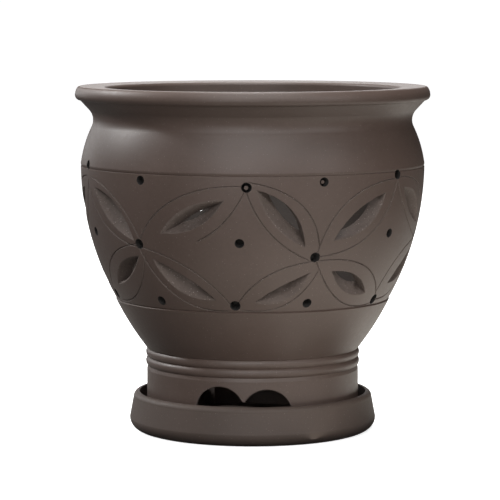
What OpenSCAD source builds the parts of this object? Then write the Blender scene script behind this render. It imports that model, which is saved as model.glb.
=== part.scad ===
// A turned and carved ceramic planter that stands in its own saucer.
// The origin is the centre of the saucer's underside, +Z is up, and the front of the carving faces -Y.
// Turns round the pot are in degrees from the front, and grow towards +X.

/* [Lip and neck] */
// Height of the pot alone, from its feet to the top of the lip
pot_height = 212; // [195:1:240]
// Widest radius of the lip
lip_radius = 112; // [106:0.5:120]
// How far the lip's outer face reaches down from its top
lip_depth = 8; // [6:0.5:11]
// Bow of the lip's outer face
lip_bow = 0.3; // [0.1:0.1:1.5]
// How far the lip's outer face leans in towards its top
lip_lean = 1.2; // [0:0.1:3]
// How far the lip's top slopes down from its outer edge to the mouth
lip_fall = 0.6; // [0.2:0.1:4]
// Rounding of the lip's edges
lip_round = 2.2; // [1:0.1:2.8]
// Width of the lip's top, from its outer edge to the mouth
lip_width = 19.5; // [17:0.5:28]
// How far the lip stands out past the foot of the neck's hollow curve
lip_overhang = 10.2; // [8:0.1:14]
// How far the hollow curve of the neck flares from its foot to its top
neck_flare = 1; // [0:0.1:3]
// Height of the hollow curve round the neck
neck_curve = 10.4; // [6:0.1:14]
// Bow of the hollow curve round the neck
neck_bow = 1.6; // [0.5:0.1:2.5]
// Depth of the hollow curve's middle below the top of the lip
neck_depth = 20.4; // [17:0.1:26]

/* [Belly] */
// Widest radius of the belly, at the upper girdle line
belly_radius = 108.5; // [105:0.1:115]
// Height of the upper girdle line above the feet
upper_line_height = 162; // [150:0.5:168]
// Height of the lower girdle line above the feet
lower_line_height = 78.3; // [70:0.1:90]
// Radius of the belly at the lower girdle line
lower_line_radius = 86.7; // [82:0.1:92]
// Radius where the belly meets the beads
waist_radius = 67.1; // [64:0.1:72]
// Bow of the shoulder between the upper girdle line and the neck
shoulder_bow = 0.9; // [0.3:0.1:2.5]
// Bow of the carved band between the two girdle lines
band_bow = 5.3; // [3:0.1:8]
// Bow of the plain belly below the carved band
belly_bow = 0.95; // [0.4:0.05:3]
// Width of each girdle line
line_width = 1.2; // [0.6:0.1:2]
// Depth of each girdle line
line_depth = 0.7; // [0.3:0.1:1.2]

/* [Foot] */
// Outer radius of the foot
foot_radius = 67.2; // [62:0.1:72]
// Height of the plain foot up to its top edge
foot_height = 33; // [30:0.5:38]
// Height of the sloping strip between the foot and the beads
foot_slope = 2.2; // [1:0.1:4]
// Number of beads above the foot
bead_count = 2; // [1:1:4]
// Height of one bead
bead_height = 5.6; // [4:0.1:7]
// Bow of one bead beyond its grooves
bead_bow = 1.3; // [0.6:0.1:2]
// Depth of the bead grooves below the foot's radius
groove_depth = 0.6; // [0.2:0.1:1.5]
// Bevel round the outer edge that the pot stands on
foot_bevel = 1.5; // [0.5:0.1:3]

/* [Wall and floor] */
// Thickness of the pot's wall
wall = 8; // [6:0.5:10]
// Thickness of the pot's floor
floor_thickness = 9; // [6:0.5:14]
// Clay between the tops of the foot arches and the floor's underside
arch_crown = 7.2; // [3:0.1:12]
// Rounding where the floor meets the wall inside
floor_round = 12; // [4:1:20]
// Radius of the drain hole
drain_radius = 12; // [6:0.5:18]

/* [Foot arches] */
// Number of arches, and so of feet
arch_count = 3; // [2:1:4]
// Turn of the first arch from the front
arch_turn = -5.2; // [-60:0.1:60]
// Height of the arches above the feet
arch_height = 29.3; // [24:0.1:31]
// Radius of each of an arch's two lobes
lobe_radius = 15; // [12:0.5:18]
// Distance of a lobe's centre from the middle of its arch
lobe_offset = 14.5; // [10:0.5:16]
// How far the tongue of clay between two lobes ends below their tops
tongue_drop = 7; // [4:0.5:12]

/* [Carving] */
// Number of flowers round the band
flower_count = 6; // [4:1:7]
// Turn of the first flower from the front
flower_start = -39.2; // [-60:0.1:60]
// Length of a leaf slot in the upper petals
upper_slot_length = 46; // [36:0.5:50]
// Width of a leaf slot in the upper petals
upper_slot_width = 13.5; // [9:0.5:16]
// Length of a leaf slot in the lower petals
lower_slot_length = 40; // [32:0.5:44]
// Width of a leaf slot in the lower petals
lower_slot_width = 10.5; // [7:0.5:13]
// How far the lower petals' slots lie below the middle of their petals
lower_slot_drop = 5; // [0:0.5:8]
// Slant of the cut face on a slot's lower side, in degrees
lower_face_slant = 32; // [15:1:36]
// Slant of the cut face on a slot's upper side, in degrees
upper_face_slant = 2; // [-6:1:6]
// Radius of the dots where petals meet
tip_dot_radius = 3.1; // [1.5:0.1:4]
// Radius of the small dots between the petals
small_dot_radius = 2.7; // [1.5:0.1:4]
// Depth of the dots
dot_depth = 3.5; // [2:0.5:5]

/* [Saucer] */
// Height of the saucer's rim
saucer_height = 24.5; // [20:0.1:32]
// Thickness of the saucer's floor
saucer_floor = 6; // [4:0.5:9]
// Thickness of the saucer's wall at its rim
saucer_wall = 4; // [3:0.1:6]
// Gap between the foot and the saucer's wall
foot_gap = 4.6; // [3:0.1:8]
// How much wider the saucer is low down than at its rim
saucer_flare = 2.4; // [0:0.1:5]
// Rounding under the saucer's outer edge
saucer_base_round = 8; // [6:0.5:12]
// Rounding over the outer shoulder of the saucer's rim
saucer_rim_round = 3.4; // [1:0.1:5]
// Rounding of the inner edge of the saucer's rim
saucer_edge_round = 0.6; // [0.3:0.1:1.5]
// Rounding where the saucer's floor meets its wall
saucer_inner_round = 3; // [1:0.1:4]

/* [Hidden] */
$fn = 96;

// Dark purple-brown clay, fired without a glaze
pot_colour = [0.36, 0.31, 0.30];
saucer_colour = [0.34, 0.29, 0.28];
// How far a cut runs past the surface that it starts from
overrun = 2;
// Chords in each drawn arc
arc_steps = 8;
// Gap that stays between the foot and the rounding inside the saucer
corner_clearance = 0.5;

// The carving was set out by hand, so flowers and petal tips stand a little off the even places.
// Each turn is a share of the step between flowers, and each height a share of the carved band.
flower_turn_shares = [-0.045, 1.015, 2, 3, 4.11, 4.985];
upper_tip_turn_shares = [0.62, 1.56, 2.55, 3.47, 4.5, 5.49];
lower_tip_turn_shares = [0.54, 1.61, 2.52, 3.48, 4.53, 5.45];
flower_height_shares = [0.4875, 0.41, 0.49, 0.46, 0.405, 0.44];
upper_tip_height_shares = [0.922, 0.95, 0.94, 0.93, 0.95, 0.94];
lower_tip_height_shares = [0.053, 0.045, 0.06, 0.05, 0.055, 0.06];
// The dots at the upper tips weren't all pressed right at the tip
upper_tip_dot_height_shares = [0.922, 0.98, 0.94, 0.93, 0.95, 1.03];
// The small dots above the flowers, below the upper tips, and below the flowers
upper_dot_turn_shares = [0.012, 1.038, 2.02, 3, 4, 5.02];
middle_dot_turn_shares = [0.58, 1.54, 2.5, 3.48, 4.52, 5.5];
lower_dot_turn_shares = [0.015, 1.012, 2.02, 3, 4, 5];
upper_dot_height_shares = [0.955];
middle_dot_height_shares = [0.52, 0.551, 0.535];
lower_dot_height_shares = [0.065];
// Place of a slot's middle along its petal, from the flower's centre
slot_middle_share = 0.52;

groove_radius = foot_radius - groove_depth;
beads_foot = foot_height + foot_slope;
waist_height = beads_foot + bead_count * bead_height;
neck_height = pot_height - neck_depth;
// Radius of the neck at the foot of its hollow curve
neck_radius = lip_radius - lip_overhang;
// Radius of the mouth, and of the straight throat below it
mouth_radius = lip_radius - lip_width;
floor_underside = arch_height + arch_crown;
floor_top = floor_underside + floor_thickness;
band_height = upper_line_height - lower_line_height;
saucer_inner_radius = foot_radius + foot_gap;
saucer_rim_radius = saucer_inner_radius + saucer_wall;
saucer_radius = saucer_rim_radius + saucer_flare;
saucer_corner = min(saucer_inner_round, foot_gap - corner_clearance);
saucer_shoulder = min(saucer_rim_round, saucer_wall - saucer_edge_round);

// Points along an arc from p to q, whose middle bows out by bow to the right of the way
function arc(p, q, bow) =
    let (
        chord = norm(q - p),
        along = (q - p) / chord,
        across = [along.y, -along.x],
        half = 2 * atan(2 * bow / chord),
        radius = chord / 2 / sin(half),
        centre = (p + q) / 2 - across * radius * cos(half)
    )
    [for (i = [0 : arc_steps])
        let (turn = half * (2 * i / arc_steps - 1))
        centre + radius * (across * cos(turn) + along * sin(turn))];

// Bow of a quarter circle of the given radius
function quarter_bow(radius) = radius * (1 - cos(45));

// The points of an outline moved square to it, to the left of the way
function inset(points, depth) =
    [for (i = [0 : len(points) - 1])
        let (
            before = points[max(i - 1, 0)],
            after = points[min(i + 1, len(points) - 1)],
            along = (after - before) / norm(after - before)
        )
        points[i] + depth * [-along.y, along.x]];

function reversed(points) = [for (i = [len(points) - 1 : -1 : 0]) points[i]];

// Outlines are [radius, height] points above the feet, and run up the outside of the pot
bead_points = [
    for (b = [0 : bead_count - 1])
        each arc([groove_radius, beads_foot + b * bead_height],
                 [groove_radius, beads_foot + (b + 1) * bead_height], bead_bow)
];
belly_points = arc([waist_radius, waist_height],
                   [lower_line_radius, lower_line_height - line_width / 2], belly_bow);
band_points = arc([lower_line_radius, lower_line_height + line_width / 2],
                  [belly_radius, upper_line_height - line_width / 2], band_bow);
neck_foot = [neck_radius, neck_height - neck_curve / 2];
neck_top = [neck_radius + neck_flare, neck_height + neck_curve / 2];
shoulder_points = arc([belly_radius, upper_line_height + line_width / 2], neck_foot, shoulder_bow);

outside_points = concat(
    [[foot_radius - foot_bevel, 0], [foot_radius, foot_bevel], [foot_radius, foot_height]],
    bead_points,
    belly_points,
    [[lower_line_radius - line_depth, lower_line_height]],
    band_points,
    [[belly_radius - line_depth, upper_line_height]],
    shoulder_points,
    arc(neck_foot, neck_top, -neck_bow)
);

lip_points = concat(
    arc([lip_radius - lip_round, pot_height - lip_depth], [lip_radius, pot_height - lip_depth + lip_round],
        quarter_bow(lip_round)),
    arc([lip_radius, pot_height - lip_depth + lip_round], [lip_radius - lip_lean, pot_height - lip_round],
        lip_bow),
    arc([lip_radius - lip_lean, pot_height - lip_round], [lip_radius - lip_lean - lip_round, pot_height],
        quarter_bow(lip_round)),
    arc([mouth_radius + lip_round, pot_height - lip_fall], [mouth_radius, pot_height - lip_fall - lip_round],
        quarter_bow(lip_round))
);

// The inside keeps the wall's thickness up to the straight throat, and rounds into the floor
hollow_points = inset(concat(belly_points, band_points, shoulder_points), wall);
hollow_table = [for (p = hollow_points) [p.y, p.x]];
corner_top = floor_top + floor_round;
corner_radius = lookup(corner_top, hollow_table);
inside_points = concat(
    [[mouth_radius, neck_height]],
    reversed([for (p = hollow_points) if (p.y > corner_top) p]),
    arc([corner_radius, corner_top], [corner_radius - floor_round, floor_top], -quarter_bow(floor_round))
);

// Radius of the carved band at a height, and how far it leans out from upright there
band_table = [for (p = band_points) [p.y, p.x]];
function band_radius(height) = lookup(height, band_table);
function band_lean(height) =
    atan((band_radius(height + line_width) - band_radius(height - line_width)) / (2 * line_width));

function band_level(share) = lower_line_height + share * band_height;
function band_turn(share) = flower_start + share * 360 / flower_count;

// The share for copy i of a pattern, which goes round again past the end of its table
function round_share(shares, i) =
    let (n = len(shares))
    shares[i % n] + (i >= n ? n : 0);

// Places in the band as [turn, height]; copy -1 stands for the last one
function place(turn_shares, height_shares, i) =
    let (k = i < 0 ? i + flower_count : i)
    [band_turn(round_share(turn_shares, k)) - (i < 0 ? 360 : 0),
     band_level(height_shares[k % len(height_shares)])];
function flower(i) = place(flower_turn_shares, flower_height_shares, i);
function upper_tip(i) = place(upper_tip_turn_shares, upper_tip_height_shares, i);
function lower_tip(i) = place(lower_tip_turn_shares, lower_tip_height_shares, i);
function upper_tip_dot(i) = place(upper_tip_turn_shares, upper_tip_dot_height_shares, i);
function upper_dot(i) = place(upper_dot_turn_shares, upper_dot_height_shares, i);
function middle_dot(i) = place(middle_dot_turn_shares, middle_dot_height_shares, i);
function lower_dot(i) = place(lower_dot_turn_shares, lower_dot_height_shares, i);

// Puts its children on the band at [turn, height], with X to the right, Y up the wall and Z out of it
module on_band(spot) {
    rotate([0, 0, spot.x])
        translate([0, -band_radius(spot.y), spot.y])
            rotate([90 + band_lean(spot.y), 0, 0])
                children();
}

module dot(spot, radius) {
    on_band(spot)
        translate([0, 0, -dot_depth])
            cylinder(r = radius, h = dot_depth + overrun);
}

// One side of a leaf slot: a long round knife cut, side is 1 for the upper side and -1 for the lower
module leaf_side(side, cut_radius, width, slant) {
    translate([0, side * width / 2, 0])
        rotate([-side * slant, 0, 0])
            translate([0, -side * cut_radius, -2 * wall])
                cylinder(r = cut_radius, h = 2 * wall + 2 * overrun);
}

// A leaf-shaped slot through the wall, along the petal between a flower's centre and a petal's tip
module leaf_slot(centre, tip, length, width, drop) {
    middle = centre + slot_middle_share * (tip - centre);
    along = band_radius(middle.y) * (tip.x - centre.x) * PI / 180;
    rise = (tip.y - centre.y) / cos(band_lean(middle.y));
    cut_radius = (length * length + width * width) / (4 * width);
    on_band(middle)
        rotate([0, 0, atan(rise / along)])
            translate([0, -drop, 0])
                intersection() {
                    leaf_side(1, cut_radius, width, upper_face_slant);
                    leaf_side(-1, cut_radius, width, lower_face_slant);
                }
}

// Each flower has four petals, to the two upper and the two lower tips beside it
module carving() {
    for (i = [0 : flower_count - 1]) {
        for (j = [i - 1, i]) {
            leaf_slot(flower(i), upper_tip(j), upper_slot_length, upper_slot_width, 0);
            leaf_slot(flower(i), lower_tip(j), lower_slot_length, lower_slot_width, lower_slot_drop);
        }
        dot(flower(i), tip_dot_radius);
        dot(upper_tip_dot(i), tip_dot_radius);
        dot(lower_tip(i), tip_dot_radius);
        dot(upper_dot(i), small_dot_radius);
        dot(middle_dot(i), small_dot_radius);
        dot(lower_dot(i), small_dot_radius);
    }
}

// Arches with two lobes cut the foot into separate feet
module foot_arches() {
    for (i = [0 : arch_count - 1])
        rotate([0, 0, arch_turn + i * 360 / arch_count])
            rotate([90, 0, 0])
                translate([0, 0, foot_radius - 3 * wall])
                    linear_extrude(height = 3 * wall + overrun) {
                        for (side = [-1, 1])
                            translate([side * lobe_offset, arch_height - lobe_radius])
                                circle(r = lobe_radius);
                        translate([-lobe_offset - lobe_radius, -overrun])
                            square([2 * (lobe_offset + lobe_radius), arch_height - lobe_radius + overrun]);
                        translate([-lobe_offset, -overrun])
                            square([2 * lobe_offset, arch_height - tongue_drop + overrun]);
                    }
}

module pot() {
    color(pot_colour)
        translate([0, 0, saucer_floor])
            difference() {
                rotate_extrude()
                    polygon(concat(outside_points, lip_points, inside_points,
                                   [[0, floor_top], [0, floor_underside],
                                    [foot_radius - wall, floor_underside], [foot_radius - wall, 0]]));
                translate([0, 0, floor_underside - overrun])
                    cylinder(r = drain_radius, h = floor_thickness + 2 * overrun);
                foot_arches();
                carving();
            }
}

module saucer() {
    color(saucer_colour)
        rotate_extrude()
            polygon(concat(
                [[0, 0]],
                arc([saucer_radius - saucer_base_round, 0], [saucer_radius, saucer_base_round],
                    quarter_bow(saucer_base_round)),
                arc([saucer_rim_radius, saucer_height - saucer_shoulder],
                    [saucer_rim_radius - saucer_shoulder, saucer_height], quarter_bow(saucer_shoulder)),
                arc([saucer_inner_radius + saucer_edge_round, saucer_height],
                    [saucer_inner_radius, saucer_height - saucer_edge_round], quarter_bow(saucer_edge_round)),
                arc([saucer_inner_radius, saucer_floor + saucer_corner],
                    [saucer_inner_radius - saucer_corner, saucer_floor], -quarter_bow(saucer_corner)),
                [[0, saucer_floor]]
            ));
}

saucer();
pot();
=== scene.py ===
# %% [markdown]
# ## A carved clay planter in its saucer
# The real object is two pieces of fired clay: a pot turned on a wheel, with petals cut and pierced
# through a band round its belly, and a turned saucer that it stands in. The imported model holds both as
# plain solids. This notebook gives each one a finer mesh of the same size, and an unglazed clay finish.
# Sizes of the clay are in millimetres until a mesh is made. Lamps and camera are placed in metres.

# %% Load the frame
import math
from collections import namedtuple

import bmesh
import bpy
import numpy as np
from mathutils import Matrix, Vector, noise


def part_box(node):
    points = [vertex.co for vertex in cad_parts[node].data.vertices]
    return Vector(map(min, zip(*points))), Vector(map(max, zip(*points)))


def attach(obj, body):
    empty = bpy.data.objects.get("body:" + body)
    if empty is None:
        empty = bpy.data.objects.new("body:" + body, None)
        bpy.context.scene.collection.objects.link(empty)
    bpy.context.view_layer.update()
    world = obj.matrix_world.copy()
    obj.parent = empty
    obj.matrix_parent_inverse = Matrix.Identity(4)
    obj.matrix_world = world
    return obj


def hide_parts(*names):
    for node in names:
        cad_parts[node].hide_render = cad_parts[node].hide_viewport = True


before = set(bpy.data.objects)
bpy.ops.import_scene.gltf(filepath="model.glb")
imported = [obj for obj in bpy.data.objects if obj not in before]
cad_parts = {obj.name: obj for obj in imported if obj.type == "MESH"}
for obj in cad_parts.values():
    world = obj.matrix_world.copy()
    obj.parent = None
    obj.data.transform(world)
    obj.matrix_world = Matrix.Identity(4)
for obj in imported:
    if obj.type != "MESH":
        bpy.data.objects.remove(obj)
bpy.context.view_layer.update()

MM = 0.001
pot_low, pot_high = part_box("pot")
saucer_low, saucer_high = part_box("saucer")
feet_level = pot_low.z / MM
pot_height = (pot_high.z - pot_low.z) / MM
saucer_height = (saucer_high.z - saucer_low.z) / MM
print("pot", round(pot_height, 1), "mm high, standing", round(feet_level, 1), "mm up in the saucer")

# %% [markdown]
# ## Clay, as the finishes see it
# The clay is a dark purple-brown stoneware, fired without a glaze. Three things make it look real: fine
# pale sand in it, faint rings left by the turning tool, and slow changes of tone from the firing.
# Each one is a small node group, so all the finishes share the same recipes and differ only in their
# values. Every pattern is placed in millimetres of the object itself.

# %% Helpers for node trees
def new_group(name, inputs, outputs):
    """An empty shader group with named sockets. An input given as a tuple is a colour."""
    group = bpy.data.node_groups.new(name, "ShaderNodeTree")
    for label, value in inputs.items():
        kind = "NodeSocketColor" if isinstance(value, tuple) else "NodeSocketFloat"
        socket = group.interface.new_socket(label, in_out="INPUT", socket_type=kind)
        socket.default_value = value
    for label, kind in outputs.items():
        group.interface.new_socket(label, in_out="OUTPUT", socket_type=kind)
    return group, group.nodes.new("NodeGroupInput"), group.nodes.new("NodeGroupOutput")


def add_node(tree, kind, values=None, **settings):
    """A node with its settings, and values or links for its sockets."""
    node = tree.nodes.new(kind)
    for name, value in settings.items():
        setattr(node, name, value)
    for socket, value in (values or {}).items():
        if isinstance(value, bpy.types.NodeSocket):
            tree.links.new(value, node.inputs[socket])
        else:
            node.inputs[socket].default_value = value
    return node


def add_math(tree, operation, first, second=0.0):
    """The result of a Math node; each operand is a number or a socket."""
    return add_node(tree, "ShaderNodeMath", {0: first, 1: second}, operation=operation).outputs[0]


def mix_colours(tree, factor, first, second):
    """The result of a colour mix. A Mix node holds sockets for every kind, and its colours come last."""
    mix = add_node(tree, "ShaderNodeMix", {0: factor}, data_type="RGBA")
    sockets = [socket for socket in mix.inputs if socket.type == "RGBA"]
    for socket, value in zip(sockets, (first, second)):
        tree.links.new(value, socket)
    return next(socket for socket in mix.outputs if socket.type == "RGBA")


def place_in_mm(tree):
    """The place on the object, in millimetres."""
    place = add_node(tree, "ShaderNodeTexCoord").outputs["Object"]
    scaled = add_node(tree, "ShaderNodeVectorMath", {0: place, "Scale": 1 / MM}, operation="SCALE")
    return scaled.outputs[0]


noise_detail = 3.0
noise_roughness = 0.6


def soft_noise(tree, place, frequency):
    """Noise between 0 and 1, in several sizes at once."""
    soft = add_node(tree, "ShaderNodeTexNoise", {
        "Vector": place, "Scale": frequency, "Detail": noise_detail, "Roughness": noise_roughness})
    return soft.outputs[0]


# %% Sand in the clay
def make_sand_group():
    """Pale grains: a cell pattern where only some cells hold a grain, each with its own brightness."""
    first_values = {"Grain spacing": 1.2, "Grain share": 0.3, "Grain radius": 0.3}
    group, source, result = new_group("Sand in clay", first_values, {"Grains": "NodeSocketFloat"})
    frequency = add_math(group, "DIVIDE", 1.0, source.outputs["Grain spacing"])
    cells = add_node(group, "ShaderNodeTexVoronoi", {"Vector": place_in_mm(group), "Scale": frequency})
    chance = add_node(group, "ShaderNodeSeparateColor", {0: cells.outputs["Color"]})
    held = add_math(group, "LESS_THAN", chance.outputs[0], source.outputs["Grain share"])
    near = add_node(group, "ShaderNodeMapRange", {
        "Value": cells.outputs["Distance"], "From Max": source.outputs["Grain radius"], "To Min": 1.0,
        "To Max": 0.0}, interpolation_type="SMOOTHSTEP")
    bright = add_math(group, "MULTIPLY", near.outputs[0], chance.outputs[1])
    group.links.new(add_math(group, "MULTIPLY", bright, held), result.inputs["Grains"])
    return group


sand_group = make_sand_group()
print("node group:", sand_group.name)


# %% Rings of the turning tool
def make_turning_group():
    """Fine rings round the axis. Height plus radius grows along every turned face, flat or upright."""
    first_values = {"Ring spacing": 1.4, "Waver": 0.02}
    group, source, result = new_group("Turning rings", first_values, {"Rings": "NodeSocketFloat"})
    x, y, z = add_node(group, "ShaderNodeSeparateXYZ", {0: place_in_mm(group)}).outputs
    x_square, y_square = add_math(group, "MULTIPLY", x, x), add_math(group, "MULTIPLY", y, y)
    radius = add_math(group, "SQRT", add_math(group, "ADD", x_square, y_square))
    along = add_math(group, "ADD", radius, z)
    ring_place = add_node(group, "ShaderNodeCombineXYZ", {
        0: add_math(group, "MULTIPLY", x, source.outputs["Waver"]),
        1: add_math(group, "MULTIPLY", y, source.outputs["Waver"]),
        2: add_math(group, "DIVIDE", along, source.outputs["Ring spacing"])})
    group.links.new(soft_noise(group, ring_place.outputs[0], 1.0), result.inputs["Rings"])
    return group


turning_group = make_turning_group()
print("node group:", turning_group.name)


# %% Tone of the fired clay
# Noise seldom leaves the middle of its range, so these parts are spread out: of drift and mottle
# together for the tone, and of the mottle alone for the roughness
tone_spread = (0.7, 1.3)
mottle_spread = (0.3, 0.7)


def make_tone_group():
    """The clay's colour: a slow drift between two tones, a fine mottle, and sand on top."""
    first_values = {
        "Dark tone": (0.08, 0.06, 0.05, 1), "Light tone": (0.12, 0.09, 0.08, 1),
        "Sand colour": (0.3, 0.26, 0.22, 1), "Sand": 0.0, "Drift size": 40.0, "Mottle size": 2.0}
    outputs = {"Color": "NodeSocketColor", "Mottle": "NodeSocketFloat"}
    group, source, result = new_group("Fired clay tone", first_values, outputs)
    place = place_in_mm(group)
    drift, mottle = [
        soft_noise(group, place, add_math(group, "DIVIDE", 1.0, source.outputs[size]))
        for size in ("Drift size", "Mottle size")]
    spread = add_node(group, "ShaderNodeMapRange", {
        "Value": add_math(group, "ADD", drift, mottle),
        "From Min": tone_spread[0], "From Max": tone_spread[1]})
    dark, light = source.outputs["Dark tone"], source.outputs["Light tone"]
    tone = mix_colours(group, spread.outputs[0], dark, light)
    sanded = mix_colours(group, source.outputs["Sand"], tone, source.outputs["Sand colour"])
    group.links.new(sanded, result.inputs["Color"])
    group.links.new(mottle, result.inputs["Mottle"])
    return group


tone_group = make_tone_group()
print("node group:", tone_group.name)


# %% [markdown]
# ## The five finishes
# A turned face is smooth and a little satin where the tool has pressed the sand down. A cut face is
# rough, because the knife drags grains out of the half dry clay. The hollow inside is left as it was
# thrown and stays rougher, and its colour is painted darker, as painted shade deep inside the pot. The
# clay in the dots is painted nearly black, as painted shade in the pits. The saucer is turned too, but
# hardly burnished. One recipe makes all five: tone for the colour, and rings, mottle and grains for a bump
# in real depth.

# %% The clay recipe
Finish = namedtuple("Finish", (
    "dark", "light", "sand_colour", "share", "ring_depth", "mottle_depth", "grain_depth",
    "rough_low", "rough_high"))


def make_clay(name, finish):
    """An unglazed clay. Depths are in millimetres, and the two roughnesses span the mottle."""
    material = bpy.data.materials.new(name)
    material.use_nodes = True
    tree = material.node_tree
    shader = tree.nodes["Principled BSDF"]
    sand = add_node(tree, "ShaderNodeGroup", node_tree=sand_group)
    sand.inputs["Grain share"].default_value = finish.share
    rings = add_node(tree, "ShaderNodeGroup", node_tree=turning_group)
    tone = add_node(tree, "ShaderNodeGroup", node_tree=tone_group)
    tone.inputs["Dark tone"].default_value = (*finish.dark, 1)
    tone.inputs["Light tone"].default_value = (*finish.light, 1)
    tone.inputs["Sand colour"].default_value = (*finish.sand_colour, 1)
    tree.links.new(sand.outputs["Grains"], tone.inputs["Sand"])
    tree.links.new(tone.outputs["Color"], shader.inputs["Base Color"])
    roughness = add_node(tree, "ShaderNodeMapRange", {
        "Value": tone.outputs["Mottle"], "From Min": mottle_spread[0], "From Max": mottle_spread[1],
        "To Min": finish.rough_low, "To Max": finish.rough_high})
    tree.links.new(roughness.outputs[0], shader.inputs["Roughness"])
    height = add_math(tree, "MULTIPLY", rings.outputs["Rings"], finish.ring_depth)
    mottle, grains = tone.outputs["Mottle"], sand.outputs["Grains"]
    for layer, depth in ((mottle, finish.mottle_depth), (grains, finish.grain_depth)):
        height = add_math(tree, "ADD", height, add_math(tree, "MULTIPLY", layer, depth))
    bump = add_node(tree, "ShaderNodeBump", {"Height": height, "Strength": 1.0, "Distance": MM})
    tree.links.new(bump.outputs[0], shader.inputs["Normal"])
    return material


# %% Turned, cut and saucer clay, and clay painted darker as shade in the hollow and the dots
turned_clay = make_clay("turned_clay", Finish(
    dark=(0.072, 0.049, 0.040), light=(0.086, 0.059, 0.049), sand_colour=(0.19, 0.155, 0.14), share=0.25,
    ring_depth=0.02, mottle_depth=0.03, grain_depth=0.015, rough_low=0.45, rough_high=0.55))
# Painted shade: the hollow's clay is painted darker than the turned clay, for the shade deep inside the
# pot; its higher roughness is the clay's own.
hollow_shade_clay = make_clay("hollow_shade_clay", Finish(
    dark=(0.034, 0.026, 0.022), light=(0.050, 0.038, 0.031), sand_colour=(0.14, 0.12, 0.10), share=0.3,
    ring_depth=0.06, mottle_depth=0.1, grain_depth=0.03, rough_low=0.65, rough_high=0.8))
cut_clay = make_clay("cut_clay", Finish(
    dark=(0.070, 0.051, 0.042), light=(0.114, 0.087, 0.076), sand_colour=(0.42, 0.36, 0.33), share=0.5,
    ring_depth=0.0, mottle_depth=0.5, grain_depth=0.14, rough_low=0.7, rough_high=0.9))
# Painted shade: the clay in the dots is painted nearly black, for the shade in the pits.
dot_shade_clay = make_clay("dot_shade_clay", Finish(
    dark=(0.005, 0.004, 0.0035), light=(0.010, 0.008, 0.007), sand_colour=(0.05, 0.04, 0.035), share=0.2,
    ring_depth=0.0, mottle_depth=0.1, grain_depth=0.03, rough_low=0.8, rough_high=0.95))
turned_saucer_clay = make_clay("turned_saucer_clay", Finish(
    dark=(0.067, 0.048, 0.039), light=(0.080, 0.057, 0.047), sand_colour=(0.18, 0.15, 0.135), share=0.3,
    ring_depth=0.03, mottle_depth=0.05, grain_depth=0.02, rough_low=0.6, rough_high=0.72))
finishes = (turned_clay, hollow_shade_clay, cut_clay, dot_shade_clay, turned_saucer_clay)
print("finishes:", [material.name for material in finishes])

# %% [markdown]
# ## Outlines of turned ware
# Everything turned on a wheel is one outline spun round the axis. An outline here is a chain of
# stretches, each a straight line or an arc. A stretch keeps the true direction that the surface faces at
# each point, because the shading of the finished mesh is taken from the outline and not from the facets.
# Outlines run up the outside and down the inside, so the clay is always on the left of the way.

# %% Straight and curved stretches
# A stretch is an array of rows: radius, height, and the two parts of the direction that it faces
def straight(start, end, steps=1):
    start, end = np.array(start, float), np.array(end, float)
    along = (end - start) / np.linalg.norm(end - start)
    points = start + np.linspace(0, 1, steps + 1)[:, None] * (end - start)
    return np.hstack([points, np.tile([along[1], -along[0]], (steps + 1, 1))])


def arc(start, end, bow, steps=8):
    """An arc whose middle bows out to the right of the way."""
    start, end = np.array(start, float), np.array(end, float)
    chord = np.linalg.norm(end - start)
    along = (end - start) / chord
    across = np.array([along[1], -along[0]])
    half = 2 * math.atan(2 * bow / chord)
    radius = chord / 2 / math.sin(half)
    turn = np.linspace(-half, half, steps + 1)[:, None]
    facing = across * np.cos(turn) + along * np.sin(turn)
    centre = (start + end) / 2 - across * radius * math.cos(half)
    return np.hstack([centre + radius * facing, facing])


def round_bow(radius, turn=math.pi / 2):
    """The bow of an arc with this radius, for a quarter circle or for another turn."""
    return radius * (1 - math.cos(turn / 2))


def inset(stretches, depth):
    """The same surfaces a wall's thickness further in, with their way turned round."""
    moved = []
    for stretch in reversed(stretches):
        inner = stretch[::-1].copy()
        inner[:, :2] -= depth * inner[:, 2:]
        inner[:, 2:] *= -1
        moved.append(inner)
    return moved


# %% Making an object from a bmesh
def finish_mesh(name, work, material):
    """Turns a bmesh, made in millimetres, into an object with smooth faces."""
    for face in work.faces:
        face.smooth = True
    bmesh.ops.scale(work, vec=(MM, MM, MM), verts=work.verts)
    mesh = bpy.data.meshes.new(name)
    work.to_mesh(mesh)
    work.free()
    mesh.materials.append(material)
    piece = bpy.data.objects.new(name, mesh)
    bpy.context.scene.collection.objects.link(piece)
    return piece


# %% Spinning an outline
segments = 240
# A ring narrower than this is one point on the axis
on_axis = 0.01


def spin(name, stretches, material):
    """A closed outline becomes a ring, and an outline with both ends on the axis becomes a dish."""
    rows = np.vstack([stretch[:-1, :2] for stretch in stretches] + [stretches[-1][-1:, :2]])
    closed = np.allclose(rows[0], rows[-1])
    work = bmesh.new()
    rings = []
    for radius, height in rows[:-1] if closed else rows:
        if radius < on_axis:
            rings.append([work.verts.new((0, 0, height))] * segments)
            continue
        turns = [k * 2 * math.pi / segments for k in range(segments)]
        rings.append([work.verts.new((radius * math.sin(t), -radius * math.cos(t), height)) for t in turns])
    for lower, upper in zip(rings, rings[1:] + (rings[:1] if closed else [])):
        for k in range(segments):
            following = (k + 1) % segments
            corners = dict.fromkeys([lower[k], lower[following], upper[following], upper[k]])
            work.faces.new(list(corners))
    return finish_mesh(name, work, material)


# %% Shading from the outline
smooth_angle = math.radians(38)


def read_all(items, name, kind, width):
    """One property of all items, in rows as wide as the property."""
    values = np.empty(len(items) * width, kind)
    items.foreach_get(name, values)
    return values.reshape(-1, width)


def share_along(points, way, start):
    """How far along a straight way each point lies, from 0 to 1."""
    return np.clip(((points - start) * way).sum(-1) / (way * way).sum(-1), 0, 1)


def nearest_ways(points, starts, ways):
    """The number of the straight way that is nearest to each point."""
    nearest = np.empty(len(points), int)
    for k, point in enumerate(points):
        gap = starts + share_along(point, ways, starts)[:, None] * ways - point
        nearest[k] = np.argmin((gap * gap).sum(1))
    return nearest


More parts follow.
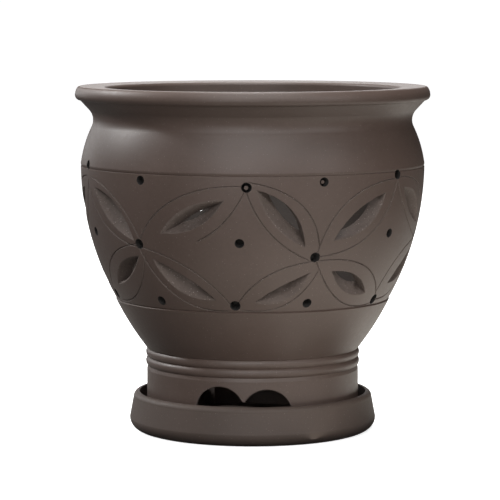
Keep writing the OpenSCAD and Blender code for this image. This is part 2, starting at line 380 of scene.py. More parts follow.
def shade_as_turned(piece, stretches):
    """Gives the corners of turned faces the outline's direction; faces that a cut made keep theirs."""
    mesh = piece.data
    mesh.set_sharp_from_angle(angle=smooth_angle)
    normals = read_all(mesh.corner_normals, "vector", np.float32, 3)
    places = read_all(mesh.vertices, "co", np.float32, 3) / MM
    profile = np.stack([np.hypot(places[:, 0], places[:, 1]), places[:, 2]], 1)
    corner_vertex = read_all(mesh.loops, "vertex_index", int, 1)[:, 0]
    sizes = read_all(mesh.polygons, "loop_total", int, 1)[:, 0]
    slots = read_all(mesh.polygons, "material_index", int, 1)[:, 0]
    corner_face = np.repeat(np.arange(len(sizes)), sizes)
    sums = [np.bincount(corner_face, profile[corner_vertex, k]) for k in range(2)]
    middles = np.stack(sums, 1) / sizes[:, None]
    starts = np.vstack([stretch[:-1] for stretch in stretches])
    ends = np.vstack([stretch[1:] for stretch in stretches])
    ways = ends[:, :2] - starts[:, :2]
    nearest = nearest_ways(middles, starts[:, :2], ways)
    uncut = ~np.isin(slots, [mesh.materials.find(name) for name in ("cut_clay", "dot_shade_clay")])
    turned = uncut[corner_face]
    picked = nearest[corner_face[turned]]
    corners = corner_vertex[turned]
    share = share_along(profile[corners], ways[picked], starts[picked, :2])[:, None]
    facing = starts[picked, 2:] + share * (ends[picked, 2:] - starts[picked, 2:])
    radial = places[corners, :2] / np.maximum(profile[corners, :1], on_axis)
    made = np.hstack([radial * facing[:, :1], facing[:, 1:]])
    normals[turned] = made / np.linalg.norm(made, axis=1)[:, None]
    mesh.normals_split_custom_set(normals.tolist())
    print(piece.name, len(slots), "faces,", int(uncut.sum()), "of them turned")


# %% [markdown]
# ## The saucer
# The saucer is a shallow dish with an upright wall, a soft foot and a rounded rim. It could be made from
# a primitive with bevels, but its outline says everything about it, so it is spun like the real one.

# %% Sizes of the saucer
saucer_floor = feet_level
saucer_wall = 4
saucer_flare = 2.4
saucer_base_round = 8
saucer_inner_round = 3
saucer_rim_round = 3.4
saucer_edge_round = 0.6
saucer_radius = (saucer_high.x - saucer_low.x) / 2 / MM
rim_radius = saucer_radius - saucer_flare
dish_radius = rim_radius - saucer_wall
print("saucer", round(2 * saucer_radius, 1), "mm across and", round(saucer_height, 1), "mm high")

# %% Spin the saucer
base_edge = (saucer_radius - saucer_base_round, 0)
wall_foot = (saucer_radius, saucer_base_round)
rim_side = (rim_radius, saucer_height - saucer_rim_round)
rim_top = (rim_radius - saucer_rim_round, saucer_height)
inner_rim_top = (dish_radius + saucer_edge_round, saucer_height)
inner_rim_side = (dish_radius, saucer_height - saucer_edge_round)
dish_side = (dish_radius, saucer_floor + saucer_inner_round)
dish_floor = (dish_radius - saucer_inner_round, saucer_floor)
saucer_outline = [
    straight((0, 0), base_edge, steps=4),
    arc(base_edge, wall_foot, round_bow(saucer_base_round)),
    straight(wall_foot, rim_side, steps=4),
    arc(rim_side, rim_top, round_bow(saucer_rim_round)),
    arc(inner_rim_top, inner_rim_side, round_bow(saucer_edge_round), steps=4),
    straight(inner_rim_side, dish_side, steps=4),
    arc(dish_side, dish_floor, -round_bow(saucer_inner_round)),
    straight(dish_floor, (0, saucer_floor), steps=4),
]
turned_saucer = spin("turned_saucer", saucer_outline, turned_saucer_clay)
shade_as_turned(turned_saucer, saucer_outline)
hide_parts("saucer")
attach(turned_saucer, "saucer")

# %% [markdown]
# ## The pot's body
# The pot's outline goes up the foot, its beads, the belly with its two girdle lines, the neck and the
# lip, and down the inside to the drain hole. The inside of the belly follows its outside at the thickness
# of the wall, as it does when a potter gauges the wall with finger and thumb. The outline is spun like
# the saucer's, because that is how the real pot gets its shape. Here it still stands on the ground, and
# it is lifted into the saucer when the carving is done.

# %% Sizes of the lip and neck
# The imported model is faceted, so the lip takes the narrower of its two sides
lip_radius = min(pot_high.x, -pot_low.x) / MM
lip_depth = 8.7
lip_fall = 0.6
lip_round = 3.2
lip_turn = math.radians(35)
lip_soft = 2.0
mouth_round = 2.2
lip_width = 19.5
lip_overhang = 10.2
mouth_radius = lip_radius - lip_width
neck_radius = lip_radius - lip_overhang
neck_flare = 1
neck_curve = 10.4
neck_bow = 1.6
neck_depth = 20.4
neck_height = pot_height - neck_depth
print("mouth", round(2 * mouth_radius, 1), "mm across, neck", round(2 * neck_radius, 1), "mm across")

# %% Sizes of the belly
belly_radius = 108.5
upper_line_height = 162
lower_line_height = 78.3
lower_line_radius = 86.7
waist_radius = 67.1
shoulder_bow = 0.9
band_bow = 5.3
belly_bow = 0.95
line_half_height = 0.6
line_depth = 0.7
roll_height = 1.8
roll_depth = 0.5
roll_bow = 0.12
step_height = 0.3
print("carved band", round(upper_line_height - lower_line_height, 1), "mm high")

# %% Sizes of the foot, wall and floor
foot_radius = 67.2
foot_height = 33
foot_slope = 2.2
bead_count = 2
bead_height = 5.6
bead_bow = 1.3
groove_depth = 0.6
foot_bevel = 1.5
wall = 8
floor_thickness = 9
floor_round = 12
drain_radius = 12
arch_height = 29.3
arch_crown = 7.2
groove_radius = foot_radius - groove_depth
beads_foot = foot_height + foot_slope
waist_height = beads_foot + bead_count * bead_height
floor_underside = arch_height + arch_crown
floor_top = floor_underside + floor_thickness
print("floor", round(floor_underside, 1), "to", round(floor_top, 1), "mm above the feet")

# %% Outline of the foot and beads
foot = [
    straight((foot_radius - wall, 0), (foot_radius - foot_bevel, 0)),
    straight((foot_radius - foot_bevel, 0), (foot_radius, foot_bevel)),
    straight((foot_radius, foot_bevel), (foot_radius, foot_height), steps=8),
    straight((foot_radius, foot_height), (groove_radius, beads_foot)),
]
for k in range(bead_count):
    bead_foot = beads_foot + k * bead_height
    foot.append(arc((groove_radius, bead_foot), (groove_radius, bead_foot + bead_height), bead_bow))
foot.append(straight((groove_radius, waist_height), (waist_radius, waist_height)))
print("foot:", len(foot), "stretches")

# %% Outline of the belly, shoulder and neck
belly_top = (lower_line_radius, lower_line_height - line_half_height)
band_foot = (lower_line_radius, lower_line_height + line_half_height)
band_top = (belly_radius, upper_line_height - step_height)
shoulder_foot = (belly_radius, upper_line_height + roll_height)
neck_foot = (neck_radius, neck_height - neck_curve / 2)
neck_top = (neck_radius + neck_flare, neck_height + neck_curve / 2)
belly = arc((waist_radius, waist_height), belly_top, belly_bow, steps=12)
band = arc(band_foot, band_top, band_bow, steps=30)
shoulder = arc(shoulder_foot, neck_foot, shoulder_bow, steps=10)
neck = arc(neck_foot, neck_top, -neck_bow, steps=10)

# The lower girdle line is a V cut with a point. At the upper one the shoulder rolls over the band's edge
line_bottom = (lower_line_radius - line_depth, lower_line_height)
lower_line = [straight(belly_top, line_bottom), straight(line_bottom, band_foot)]
roll_foot = (belly_radius - roll_depth, upper_line_height)
upper_line = [straight(band_top, roll_foot), arc(roll_foot, shoulder_foot, roll_bow, steps=6)]
body = [belly, *lower_line, band, *upper_line, shoulder, neck]
print("belly to neck:", len(body), "stretches")

# %% Outline of the lip
# The lip's face rises from its lower round and turns in until the round of its top edge takes over
face_rise = lip_depth - lip_round - lip_soft * (1 - math.sin(lip_turn))
face_round = face_rise / math.sin(lip_turn)
lip_foot = (lip_radius - lip_round, pot_height - lip_depth)
face_foot = (lip_radius, pot_height - lip_depth + lip_round)
face_top = (lip_radius - face_round * (1 - math.cos(lip_turn)), face_foot[1] + face_rise)
lip_edge = (face_top[0] - lip_soft * math.cos(lip_turn), pot_height)
mouth_edge = (mouth_radius + mouth_round, pot_height - lip_fall)
mouth_top = (mouth_radius, pot_height - lip_fall - mouth_round)
lip = [
    straight(neck_top, lip_foot, steps=3),
    arc(lip_foot, face_foot, round_bow(lip_round), steps=6),
    arc(face_foot, face_top, round_bow(face_round, lip_turn), steps=8),
    arc(face_top, lip_edge, round_bow(lip_soft, math.pi / 2 - lip_turn), steps=6),
    straight(lip_edge, mouth_edge, steps=5),
    arc(mouth_edge, mouth_top, round_bow(mouth_round), steps=5),
]
print("lip:", len(lip), "stretches")

# %% Outline of the inside
# The hollow follows the belly, band and shoulder, and stops where the floor's rounding starts
corner_top = floor_top + floor_round
hollow = np.vstack(inset([belly, band, shoulder], wall))
hollow = hollow[hollow[:, 1] > corner_top]
corner_radius = float(np.interp(corner_top, hollow[::-1, 1], hollow[::-1, 0]))
throat_foot = (mouth_radius, neck_height)
floor_edge = (corner_radius - floor_round, floor_top)
inner_foot = (foot_radius - wall, floor_underside)
inside = [
    straight(mouth_top, throat_foot, steps=3),
    straight(throat_foot, hollow[0, :2], steps=2),
    hollow,
    straight(hollow[-1, :2], (corner_radius, corner_top)),
    arc((corner_radius, corner_top), floor_edge, -round_bow(floor_round)),
    straight(floor_edge, (drain_radius, floor_top), steps=6),
    straight((drain_radius, floor_top), (drain_radius, floor_underside), steps=2),
    straight((drain_radius, floor_underside), inner_foot, steps=6),
    straight(inner_foot, (foot_radius - wall, 0), steps=4),
]
print("inside:", len(inside), "stretches")

# %% Spin the pot
pot_outline = [*foot, *body, *lip, *inside]
carved_pot = spin("carved_pot", pot_outline, turned_clay)
print("body of the pot:", len(carved_pot.data.polygons), "faces before carving")


# %% Clay in the hollow, painted darker as painted shade
def finish_hollow(piece, material):
    """Gives the material to the faces of the hollow, which look at the axis or up from the floor."""
    piece.data.materials.append(material)
    slot = piece.data.materials.find(material.name)
    for face in piece.data.polygons:
        radius, height = math.hypot(*face.center[:2]) / MM, face.center.z / MM
        looks_in = face.normal.dot(face.center) < face.normal.z * face.center.z
        looks_up = face.normal.z > 0 and radius < corner_radius
        if floor_top - floor_round < height < hollow[0, 1] and (looks_in or looks_up):
            face.material_index = slot


finish_hollow(carved_pot, hollow_shade_clay)
hollow_faces = sum(face.material_index > 0 for face in carved_pot.data.polygons)
print("faces of the hollow:", hollow_faces)

# %% [markdown]
# ## A flat drawing of the carved band
# Potters set such a band out as a strip of petals, so the carving is drawn flat first: across the strip
# in millimetres at the band's middle radius, and up it along the leaning wall. One function wraps a
# drawn point back onto the pot, at any depth into the clay. Every cut in the band is made from such
# points, as a closed skin that a Boolean takes out of the pot.

# %% Wrapping the drawing round the pot
middle_radius = (lower_line_radius + belly_radius) / 2
band_height = upper_line_height - lower_line_height
mean_lean = math.atan((belly_radius - lower_line_radius) / band_height)


def flat(turn, height):
    """A place on the band, in degrees and height, as a point of the flat drawing."""
    up = (height - lower_line_height) / math.cos(mean_lean)
    return np.array([math.radians(turn) * middle_radius, up])


def wrap(points, depth):
    """Points of the flat drawing, sunk to a depth in the clay."""
    points = np.atleast_2d(points)
    height = lower_line_height + points[:, 1] * math.cos(mean_lean)
    turn = points[:, 0] / middle_radius
    radius, out, up = [np.interp(height, band[:, 1], band[:, k]) for k in (0, 2, 3)]
    radius, height = radius - depth * out, height - depth * up
    return np.stack([radius * np.sin(turn), -radius * np.cos(turn), height], 1)


print("the strip leans", round(math.degrees(mean_lean), 1), "degrees")


# %% Cutters
def loft(work, rings, end_slot=0):
    """A closed skin over a row of rings that have as many points each; its end has a material slot."""
    made = [[work.verts.new(point) for point in ring] for ring in rings]
    for ring, following in zip(made, made[1:]):
        for k in range(len(ring)):
            after = (k + 1) % len(ring)
            work.faces.new((ring[k], ring[after], following[after], following[k]))
    caps = [work.faces.new(made[0][::-1]), work.faces.new(made[-1])]
    caps[1].material_index = end_slot
    bmesh.ops.triangulate(work, faces=caps)


def carve(piece, work, *materials):
    """Cuts what a bmesh of closed skins holds out of a piece; the cut faces get the cutter's materials."""
    bmesh.ops.recalc_face_normals(work, faces=work.faces)
    cutter = finish_mesh("cutter", work, materials[0])
    for material in materials[1:]:
        cutter.data.materials.append(material)
    cut = piece.modifiers.new("cut", "BOOLEAN")
    cut.solver = "MANIFOLD"
    cut.operation = "DIFFERENCE"
    cut.material_mode = "TRANSFER"
    cut.object = cutter
    whole = piece.evaluated_get(bpy.context.evaluated_depsgraph_get())
    carved = bpy.data.meshes.new_from_object(whole)
    piece.modifiers.clear()
    piece.data = carved
    bpy.data.objects.remove(cutter)


# %% [markdown]
# ## Setting out the petals
# Six flowers go round the band, each with four petals that reach to the tips between it and the next
# flowers. They were set out by eye, so no two are quite alike: each place is its even place plus a
# little. The cuts of three flowers are given below, and the far side of the pot repeats them.

# %% Flowers and tips
flower_count = 6
flower_start = -39.2
flower_step = 360 / flower_count
# Turns are counted in steps from the first flower, and heights are shares of the band's height
flower_turns = (-0.045, 1.015, 2, 3, 4.11, 4.985)
upper_tip_turns = (0.62, 1.56, 2.55, 3.47, 4.5, 5.49)
lower_tip_turns = (0.54, 1.61, 2.52, 3.48, 4.53, 5.45)
flower_heights = (0.4875, 0.41, 0.49, 0.46, 0.405, 0.44)
upper_tip_heights = (0.922, 0.95, 0.94, 0.93, 0.95, 0.94)
lower_tip_heights = (0.053, 0.045, 0.06, 0.05, 0.055, 0.06)


def spot(turns, heights, k):
    """Place k of a row in the flat drawing; the row goes on past both ends."""
    turn = turns[k % flower_count] + flower_count * (k // flower_count)
    height = lower_line_height + heights[k % flower_count] * band_height
    return flat(flower_start + turn * flower_step, height)


print("flowers are", round(float(flat(flower_step, lower_line_height)[0]), 1), "mm apart")

# %% What the knife does on a petal
# A line holds its rise above the petal's middle line at the flower and at the tip, its bow between them,
# and where it starts and ends. A slot holds where it starts and ends along the petal, its rise at both,
# the bows of its two sides, and for the upper and then the lower side, how soft its edge is in
# millimetres and how far it slants in degrees.
Line = namedtuple("Line", ("at_flower", "at_tip", "bow", "start", "end"), defaults=(0, 1))
Slot = namedtuple("Slot", (
    "start", "end", "at_start", "at_end", "upper_bow", "lower_bow",
    "soft", "slant", "lower_soft", "lower_slant"), defaults=(0.4, 2, 0.5, 32))
Petal = namedtuple("Petal", ("upper_line", "lower_line", "slot"))

# %% The petals of three flowers
# Each key is a flower, the side of it that the petal is on, and whether the petal goes up or down
petals = {
    (0, "left", "upper"): Petal(
        Line(2, 1, 10, 0, 0.95), Line(-3, 0, -9.5, 0, 0.95),
        Slot(0.07, 0.82, -1, 1.4, 8.5, -5, 0.4, 2, 0.5, 40)),
    (0, "right", "upper"): Petal(
        Line(0.5, 0.5, 12), Line(0, 0, -16, 0.45),
        Slot(0.26, 0.8, -2, -1.6, 5, -6.5, 2, 26.2, 0.5, 31.6)),
    (0, "left", "lower"): Petal(
        Line(0, 3, 8), Line(-6, -4, -13),
        Slot(0.12, 0.73, -4.7, -1.9, 4.5, -4.5, 0.8, 28, 1.3, 0)),
    (0, "right", "lower"): Petal(
        Line(-2, -2.5, 7.5), Line(-2, -4, -14),
        Slot(0.17, 0.82, -3.3, -3.8, 2.6, -8.5, 0.3, 1, 0.5, 44)),
    (1, "left", "upper"): Petal(
        Line(3.5, 4, 11, 0.02, 1.06), Line(-3.5, -1, -7.5),
        Slot(0.16, 0.92, -0.6, 3, 7.5, -5.5, 0.4, 2, 0.5, 39)),
    (1, "right", "upper"): Petal(
        Line(-1, 0, 15.5), Line(0, 0, -13.5),
        Slot(0.21, 0.81, 1, 0.3, 5.2, -8, 0.4, 2, 0.8, 17)),
    (1, "left", "lower"): Petal(
        Line(-3, -1, 7.5), Line(-8, -3, -12),
        Slot(0.12, 0.78, -7.5, -5, 1.2, -8, 0.25, 0, 1.2, 39)),
    (1, "right", "lower"): Petal(
        Line(-3.5, 2, 11), Line(0, -2, -14),
        Slot(0.23, 0.78, -2.7, -1.8, 5, -6.5)),
    (2, "left", "upper"): Petal(
        Line(1, 1, 14.5), Line(-2, 0, -8),
        Slot(0.2, 0.83, 2, 0.5, 7, -5.5, 0.8, 34, 0.5, 5)),
    (2, "right", "upper"): Petal(
        Line(2, 1, 13), Line(-2, -1, -12),
        Slot(0.2, 0.82, 0, 1, 7, -6.5)),
    (2, "left", "lower"): Petal(
        Line(-2, 3, 10.5), Line(-3, 0, -15),
        Slot(0.1, 0.72, -6, -1.5, 3, -8, 1.2, 2, 0.5, 25)),
    (2, "right", "lower"): Petal(
        Line(-2, 0, 9), Line(-2, -2, -14),
        Slot(0.16, 0.8, -4, -3, 3, -7)),
}
# The flowers of the far side are cut like these
cut_like = (0, 1, 2, 1, 0, 2)
tips = {"upper": (upper_tip_turns, upper_tip_heights), "lower": (lower_tip_turns, lower_tip_heights)}
print("petals drawn:", len(petals))


def each_petal(side, row):
    """A petal, its flower and its tip on one side and row, for every flower."""
    for k in range(flower_count):
        flower = spot(flower_turns, flower_heights, k)
        tip = spot(*tips[row], k - 1 if side == "left" else k)
        yield petals[cut_like[k], side, row], flower, tip


def along_petal(flower, tip, shares, rises):
    """Points beside a petal's middle line; a positive rise is above it."""
    way = tip - flower
    up = np.array([-way[1], way[0]]) / np.linalg.norm(way)
    up = up if up[1] > 0 else -up
    return flower + np.outer(shares, way) + np.outer(rises, up)


# %% [markdown]
# ## Pierced slots
# On most petals the knife goes in nearly square along the slot's upper side and slants along its lower
# side, so a broad rough face catches the light there. On a few the slants are shared out otherwise. As
# the slants close the slot, its ends draw together. Each cutter is a loft of leaf shapes from outside the
# wall to inside it, with softened edges in front.

# %% Sizes of the slots
leaf_points = 24
cut_outside = 2.5
cut_inside = wall + 2.5
# Depths of the rings that round an edge over, as shares of how soft it is
soft_steps = (0.05, 0.15, 0.4, 1)
knife_steps = 7
knife_waver = 0.22
waver_size = 2.2
thinnest_leaf = 0.02
other_noise = Vector((0, 0, 9))


def softening(depth, radius):
    """How much wider a cut is at a depth, where its edge is rounded over."""
    sunk = min(max(depth / radius, 0), 1)
    return radius * (1 - math.sqrt(1 - (1 - sunk) ** 2))


def bulge(shares, bow):
    """A curve from 0 to 0 with its bow in the middle."""
    return bow * 4 * shares * (1 - shares)


# %% One leaf shape at a depth
def leaf(flower, tip, slot, depth):
    """The outline of a slot at a depth, with the waver of the knife once it is in the clay."""
    cuts = ((slot.soft, slot.slant), (slot.lower_soft, slot.lower_slant))
    upper_shift, lower_shift = [
        softening(depth, soft) - max(depth, 0) * math.tan(math.radians(slant)) for soft, slant in cuts]
    closing = -(upper_shift + lower_shift) / (slot.upper_bow - slot.lower_bow)
    half = math.sqrt(max(1 - closing, thinnest_leaf)) / 2
    shares = 0.5 - half * np.cos(np.linspace(0, math.pi, leaf_points))
    upper = bulge(shares, slot.upper_bow) + upper_shift
    lower = bulge(shares, slot.lower_bow) - lower_shift
    rises = np.concatenate([upper, lower[-2:0:-1]])
    shares = np.concatenate([shares, shares[-2:0:-1]])
    rises = rises + slot.at_start + shares * (slot.at_end - slot.at_start)
    points = along_petal(flower, tip, slot.start + shares * (slot.end - slot.start), rises)
    if depth > 0:
        for point in points:
            place = Vector((*point, depth)) / waver_size
            point += knife_waver * np.array([noise.noise(place), noise.noise(place + other_noise)])
    return wrap(points, depth)


# %% Cut the slots
petal_kinds = [(side, row) for side in ("left", "right") for row in ("upper", "lower")]
slots = bmesh.new()
for side, row in petal_kinds:
    for petal, flower, tip in each_petal(side, row):
        rounds = {petal.slot.soft, petal.slot.lower_soft}
        rounded = sorted(step * radius for step in soft_steps for radius in rounds)
        depths = [-cut_outside, *rounded, *np.linspace(rounded[-1], cut_inside, knife_steps)[1:]]
        loft(slots, [leaf(flower, tip, petal.slot, depth) for depth in depths])
carve(carved_pot, slots, cut_clay)
print("slots cut:", flower_count * len(petal_kinds), "faces:", len(carved_pot.data.polygons))

# %% [markdown]
# ## Dots
# A short tube pressed into the clay marks each flower and tip, and smaller ones fill the ground between
# the petals. None goes through the wall. Inside the tube's deep ring a plug of clay stays a little
# higher. The faces of a dot are painted nearly black, as painted shade in the pit, and only where the tube
# went in least does the plug keep the turned face's colour. The tube was held a little askew, so every dot
# leans its own way. Each cutter is a loft of rings, down and up again.

# %% Sizes of the dots
tip_dot_radius = 3.0
small_dot_radius = 2.7
dot_depth = 4.2
dot_edge = 0.3
dot_points = 20
dot_lean = 0.22
# The plug's top and foot, as shares of the dot's radius
plug_share = 0.42
plug_foot_share = 0.6
shallow_plug = 2.5

# %% Rows of dots
# A plug that lies as deep as its dot doesn't show
no_plug = dot_depth
Dots = namedtuple("Dots", ("radius", "turns", "heights", "plug_depths"))
dot_rows = [
    Dots(tip_dot_radius, flower_turns, flower_heights,
         (no_plug, 3.0, 4.0, 3.6, no_plug, 3.8)),
    # Two of these were pressed above the tips of their petals
    Dots(tip_dot_radius, upper_tip_turns, (0.922, 0.98, 0.94, 0.93, 0.95, 1.03),
         (1.2, no_plug, 3.6, 2.0, 4.0, 3.6)),
    Dots(tip_dot_radius, lower_tip_turns, lower_tip_heights,
         (3.6, no_plug, 3.4, 4.0, 3.8, 4.0)),
    Dots(small_dot_radius, (0.012, 1.038, 2.02, 3, 4, 5.02), (0.955,) * flower_count,
         (no_plug, 1.6, 4.0, 3.6, 4.0, no_plug)),
    Dots(small_dot_radius, (0.58, 1.54, 2.5, 3.48, 4.52, 5.5), (0.52, 0.551, 0.535) * 2,
         (no_plug, no_plug, 3.4, 4.0, 3.8, 4.0)),
    Dots(small_dot_radius, (0.015, 1.012, 2.02, 3, 4, 5), (0.065,) * flower_count,
         (no_plug, 3.8, 4.0, no_plug, 3.6, 4.0)),
]
print("rows of dots:", len(dot_rows))


# %% Press the dots
def press_dot(work, centre, radius, plug_depth):
    """Adds the cutter of one dot; a shallow plug keeps the second material, the turned clay's."""
    height = lower_line_height + centre[1] * math.cos(mean_lean)
    widening = np.interp(height, band[:, 1], band[:, 0]) / middle_radius
    turns = np.arange(dot_points) * 2 * math.pi / dot_points
    circle = np.stack([np.cos(turns) / widening, np.sin(turns)], 1)
    leans = Vector((*centre, 0))
    lean = 2 * dot_lean * np.array([noise.noise(leans), noise.noise(leans + other_noise)])
    levels = [(-cut_outside, radius + dot_edge)]
    levels += [(dot_edge * step, radius + softening(dot_edge * step, dot_edge)) for step in soft_steps]
    levels += [(dot_depth, radius), (dot_depth + dot_edge, radius - dot_edge)]
    levels += [(dot_depth, radius * plug_foot_share), (plug_depth, radius * plug_share)]
    rings = [wrap(centre + lean * max(depth, 0) + size * circle, depth) for depth, size in levels]
    loft(work, rings, int(plug_depth < shallow_plug))


dots = bmesh.new()
for row in dot_rows:
    for k in range(flower_count):
        press_dot(dots, spot(row.turns, row.heights, k), row.radius, row.plug_depths[k])
# The dots' faces are painted nearly black as painted shade; a shallow plug keeps the turned clay.
carve(carved_pot, dots, dot_shade_clay, turned_clay)
print("dots pressed:", len(dot_rows) * flower_count)

# %% [markdown]
# ## Incised lines
# A pointed tool scores two lines along every petal. Each is a shallow V, dark on the side away from the
# light and bright on the other, so it is cut into the mesh and not painted or bumped. The lines of one
# petal meet those of the next at the dots, so each kind of line is cut in a pass of its own, where no
# two touch.

# %% Score the lines
line_half_width = 0.52
score_depth = 0.7
score_lift = 0.4
score_steps = 40
# The ends fade over a share of the line's length, down to a share of its width and depth
score_fade = 0.05
score_tip = 0.15


def score(work, flower, tip, line):
    """Adds the cutter of one line, which gets narrower and shallower at its ends."""
    shares = np.linspace(line.start, line.end, score_steps + 1)
    rises = line.at_flower + shares * (line.at_tip - line.at_flower) + bulge(shares, line.bow)
    path = along_petal(flower, tip, shares, rises)
    way = np.gradient(path, axis=0)
    aside = np.stack([-way[:, 1], way[:, 0]], 1) / np.linalg.norm(way, axis=1)[:, None]
    ends = np.linspace(0, 1, score_steps + 1)
    fade = np.clip(np.minimum(ends, 1 - ends) / score_fade, score_tip, 1)[:, None]
    edge = aside * fade * line_half_width * (1 + score_lift / score_depth)
    left, right = wrap(path + edge, 0), wrap(path - edge, 0)
    out = wrap(path, -score_lift) - wrap(path, 0)
    bottom = wrap(path, 0) - out / score_lift * score_depth * fade
    left, right = left + out * fade, right + out * fade
    loft(work, [np.stack(section) for section in zip(left, bottom, right)])


for side, row in petal_kinds:
    for kind in ("upper_line", "lower_line"):
        scores = bmesh.new()
        for petal, flower, tip in each_petal(side, row):
            score(scores, flower, tip, getattr(petal, kind))
        carve(carved_pot, scores, cut_clay)
print("lines scored:", 2 * flower_count * len(petal_kinds), "faces:", len(carved_pot.data.polygons))

# %% [markdown]
# ## Foot arches
# Three double arches open the foot so that water can drain into the saucer. They are cut straight
# through the foot's wall with a wire, and their edges are wiped soft with a sponge. One outline, swept
# through the wall and widened at the surface, cuts each of them.

# %% Sizes of the arches
arch_count = 3
arch_turn = math.radians(-5.2)
lobe_radius = 15
lobe_offset = 14.5
# The right lobe of each arch is cut a little lower than the left one
lobe_rises = (0.3, -1.2)
tongue_half_width = 1.5
tongue_bow = 0.5
arch_soft = 1.0
arch_steps = 16
arch_reach = 3 * wall
print("arch:", 2 * (lobe_offset + lobe_radius), "mm wide")


# %% Outline of a double arch
def arch_outline(grown):
    """Across and up, from the left foot of the arch over one lobe, the tongue and the other lobe."""
    radius = lobe_radius + grown
    tongue = math.acos((lobe_offset - tongue_half_width + grown) / radius)
    lobes = []
    for side, rise in zip((-1, 1), lobe_rises):
        span = (math.pi, tongue) if side < 0 else (math.pi - tongue, 0)
        turns = np.linspace(*span, arch_steps)
        lobes.append(np.stack([side * lobe_offset + radius * np.cos(turns),
                               arch_height - lobe_radius + rise + radius * np.sin(turns)], 1))
    tip = arc(lobes[0][-1], lobes[1][0], tongue_bow)[1:-1, :2]
    feet = [(lobes[1][-1][0], -cut_outside), (lobes[0][0][0], -cut_outside)]
    return np.vstack([lobes[0], tip, lobes[1], feet])


# %% Cut the arches
arch_depths = [-cut_outside, *(arch_soft * step for step in soft_steps), arch_reach]
arches = bmesh.new()
for k in range(arch_count):
    turn = Matrix.Rotation(arch_turn + k * 2 * math.pi / arch_count, 3, "Z")
    rings = []
    for depth in arch_depths:
        outline = arch_outline(softening(depth, arch_soft))
        surface = np.sqrt(np.maximum(foot_radius ** 2 - outline[:, 0] ** 2, 0))
        # Both ends of the cutter are flat, and the rings between them follow the foot's round wall
        if depth in (-cut_outside, arch_reach):
            surface = np.full(len(outline), foot_radius)
        places = np.stack([outline[:, 0], -(surface - depth), outline[:, 1]], 1)
        rings.append([turn @ Vector(place) for place in places])
    loft(arches, rings)
carve(carved_pot, arches, cut_clay)
print("arches cut:", arch_count, "faces:", len(carved_pot.data.polygons))

# %% Seat the pot in its saucer
shade_as_turned(carved_pot, pot_outline)
carved_pot.data.transform(Matrix.Translation((0, 0, feet_level * MM)))
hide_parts("pot")
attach(carved_pot, "pot")
triangles = sum(len(face.vertices) - 2 for face in carved_pot.data.polygons)
print("carved pot:", triangles, "triangles,", len(carved_pot.data.materials), "materials")

# %% [markdown]
# ## Floor and light
# The floor is a pale sweep that curves up far behind the object, so no horizon shows. A white floor would
# throw much light up under dark clay, so only the camera sees it white, and the clay sees a darker one.
# A Light Path node tells the two apart, in the floor's material and in the world's.

# %% Seen by the camera, seen by the clay
seen_floor_tone = 0.86
seen_floor_glow = 0.8
felt_floor_tone = 0.03
felt_floor_glow = 0.01
floor_roughness = 0.9
seen_sky = 1.0
felt_sky = 0.005


def by_camera(tree, seen, felt, result):
    """Shows one shader to the camera and the other to everything else."""
    camera_ray = add_node(tree, "ShaderNodeLightPath").outputs["Is Camera Ray"]
    both = add_node(tree, "ShaderNodeMixShader", {0: camera_ray, 1: felt.outputs[0], 2: seen.outputs[0]})
    tree.links.new(both.outputs[0], result.inputs["Surface"])


floor_paint = bpy.data.materials.new("floor_paint")
floor_paint.use_nodes = True
paint = floor_paint.node_tree
seen_floor, felt_floor = paint.nodes["Principled BSDF"], add_node(paint, "ShaderNodeBsdfPrincipled")
for shader, tone, glow in (
        (seen_floor, seen_floor_tone, seen_floor_glow), (felt_floor, felt_floor_tone, felt_floor_glow)):
    shader.inputs["Base Color"].default_value = (tone, tone, tone, 1)
    shader.inputs["Roughness"].default_value = floor_roughness
    shader.inputs["Emission Color"].default_value = (1, 1, 1, 1)
    shader.inputs["Emission Strength"].default_value = glow
by_camera(paint, seen_floor, felt_floor, paint.nodes["Material Output"])
print("floor paint:", len(paint.nodes), "nodes")

# %% The floor
floor_front = 2500
floor_back = 2500
floor_half = 3500
sweep_radius = 1200
sweep_steps = 12
floor_line = [(-floor_front, 0)]
floor_line += [(floor_back + sweep_radius * math.sin(t), sweep_radius * (1 - math.cos(t)))
               for t in np.linspace(0, math.pi / 2, sweep_steps)]
floor_line += [(floor_back + sweep_radius, 2 * sweep_radius)]
sweep = bmesh.new()
edges = [[sweep.verts.new((side * floor_half, along, up)) for along, up in floor_line] for side in (-1, 1)]
for k in range(len(floor_line) - 1):
    sweep.faces.new((edges[0][k], edges[1][k], edges[1][k + 1], edges[0][k + 1]))
floor = finish_mesh("floor", sweep, floor_paint)
print("floor:", len(floor.data.polygons), "faces")

# %% [markdown]
# ## Lamps
# Soft boxes stand in a wide ring round the pot. Each place is a turn from the front, positive to the
# right, and a rise, both in degrees and seen from the pot's middle. A small box far round to the left
# draws the bright wedge on the shoulder, and big ones in front, above and behind give the even light.
# Warm cards on the table, strongest at the right, do what a pale table does: they light the lower belly.

# %% Soft boxes
ring_radius = 2.0
pot_middle = Vector((0, 0, pot_height * MM / 2))


def soft_box(name, place, aim, size, power, colour=(1, 1, 1)):
    """A square area light, in metres and watts, that the camera doesn't see."""
    light = bpy.data.lights.new(name, "AREA")
    light.shape = "SQUARE"
    light.size = size
    light.energy = power
    light.color = colour
    box = bpy.data.objects.new(name, light)
    box.location = place
    box.rotation_euler = (place - aim).to_track_quat("Z", "Y").to_euler()
    box.visible_camera = False
    bpy.context.scene.collection.objects.link(box)


def ring_box(name, turn, rise, size, power):
    """A soft box on the ring, turned to the pot."""
    turn, rise = math.radians(turn), math.radians(rise)
    way = Vector((math.sin(turn) * math.cos(rise), -math.cos(turn) * math.cos(rise), math.sin(rise)))
    soft_box(name, pot_middle + ring_radius * way, pot_middle, size, power)


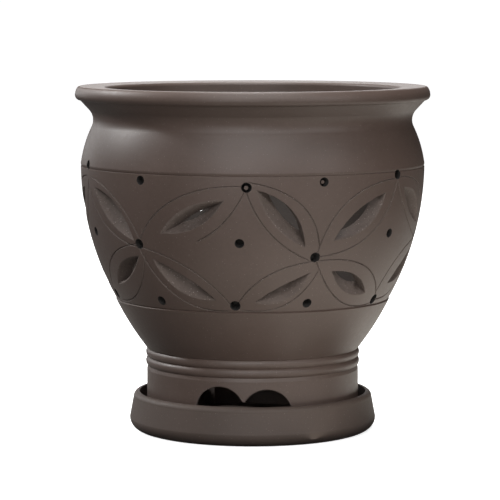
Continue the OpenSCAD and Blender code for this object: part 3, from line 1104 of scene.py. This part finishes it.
# Each box has a turn, a rise, a size and a power
ring_box("front_low_box", -10, 10, 0.8, 7.5)
ring_box("front_left_box", -15, 36, 0.7, 11)
ring_box("front_right_box", 15, 36, 0.7, 9)
ring_box("right_box", 48, 20, 0.7, 7.5)
ring_box("left_key_box", -109, 32, 0.3, 25)
ring_box("top_box", 0, 85, 0.7, 44)
ring_box("back_box", 180, 45, 0.7, 14)
ring_box("back_low_box", 180, 15, 0.7, 2.5)
ring_box("left_back_box", -142, 13, 0.8, 4.5)

# %% Cards on the table
card_lift = 0.004
card_colour = (1, 0.96, 0.87)
near_distance = 0.25
near_size = 0.25


def lay_card(name, turn, distance, size, power):
    """A warm glowing card that lies on the table, face up."""
    turn = math.radians(turn)
    place = Vector((distance * math.sin(turn), -distance * math.cos(turn), card_lift))
    soft_box(name, place, place + Vector((0, 0, 1)), size, power, card_colour)


# Each near card is a turn and a power
near_cards = ((0, 0.13), (40, 0.17), (80, 0.18), (120, 0.22), (160, 0.12), (200, 0.07), (240, 0.03))
for turn, power in near_cards:
    lay_card(f"near_card_{turn}", turn, near_distance, near_size, power)
lay_card("right_front_card", 40, 0.6, 0.35, 0.5)
lay_card("right_back_card", 135, 0.55, 0.35, 0.4)
print("cards:", len(near_cards) + 2)

# %% The world and the colour view
world = bpy.data.worlds.new("studio")
world.use_nodes = True
sky = world.node_tree
seen_shader, felt_shader = sky.nodes["Background"], add_node(sky, "ShaderNodeBackground")
for shader, strength in ((seen_shader, seen_sky), (felt_shader, felt_sky)):
    shader.inputs["Color"].default_value = (1, 1, 1, 1)
    shader.inputs["Strength"].default_value = strength
by_camera(sky, seen_shader, felt_shader, sky.nodes["World Output"])
bpy.context.scene.world = world
bpy.context.scene.view_settings.view_transform = "Standard"
print("colour view:", bpy.context.scene.view_settings.view_transform)

# %% [markdown]
# ## Camera
# The photograph was taken from a little above the lip's height and looks slightly down. Its place was
# worked out from the ellipses of the lip, girdle lines and saucer. The lens is given in pixels of the
# picture, because that is what such a sum gives, and is turned into millimetres here.

# %% The camera
camera_distance = 1.617
camera_height = 0.2736
camera_aside = -0.00164
camera_pitch = math.radians(5.6435)
focal_pixels = 2559.3
picture_pixels = 500
sensor_width = 36
camera_data = bpy.data.cameras.new("camera")
camera_data.sensor_width = sensor_width
camera_data.lens = focal_pixels / picture_pixels * sensor_width
camera = bpy.data.objects.new("camera", camera_data)
camera.location = (camera_aside, -camera_distance, camera_height)
camera.rotation_euler = (math.pi / 2 - camera_pitch, 0, 0)
bpy.context.scene.collection.objects.link(camera)
bpy.context.scene.camera = camera
print("lens", round(camera_data.lens, 1), "mm")
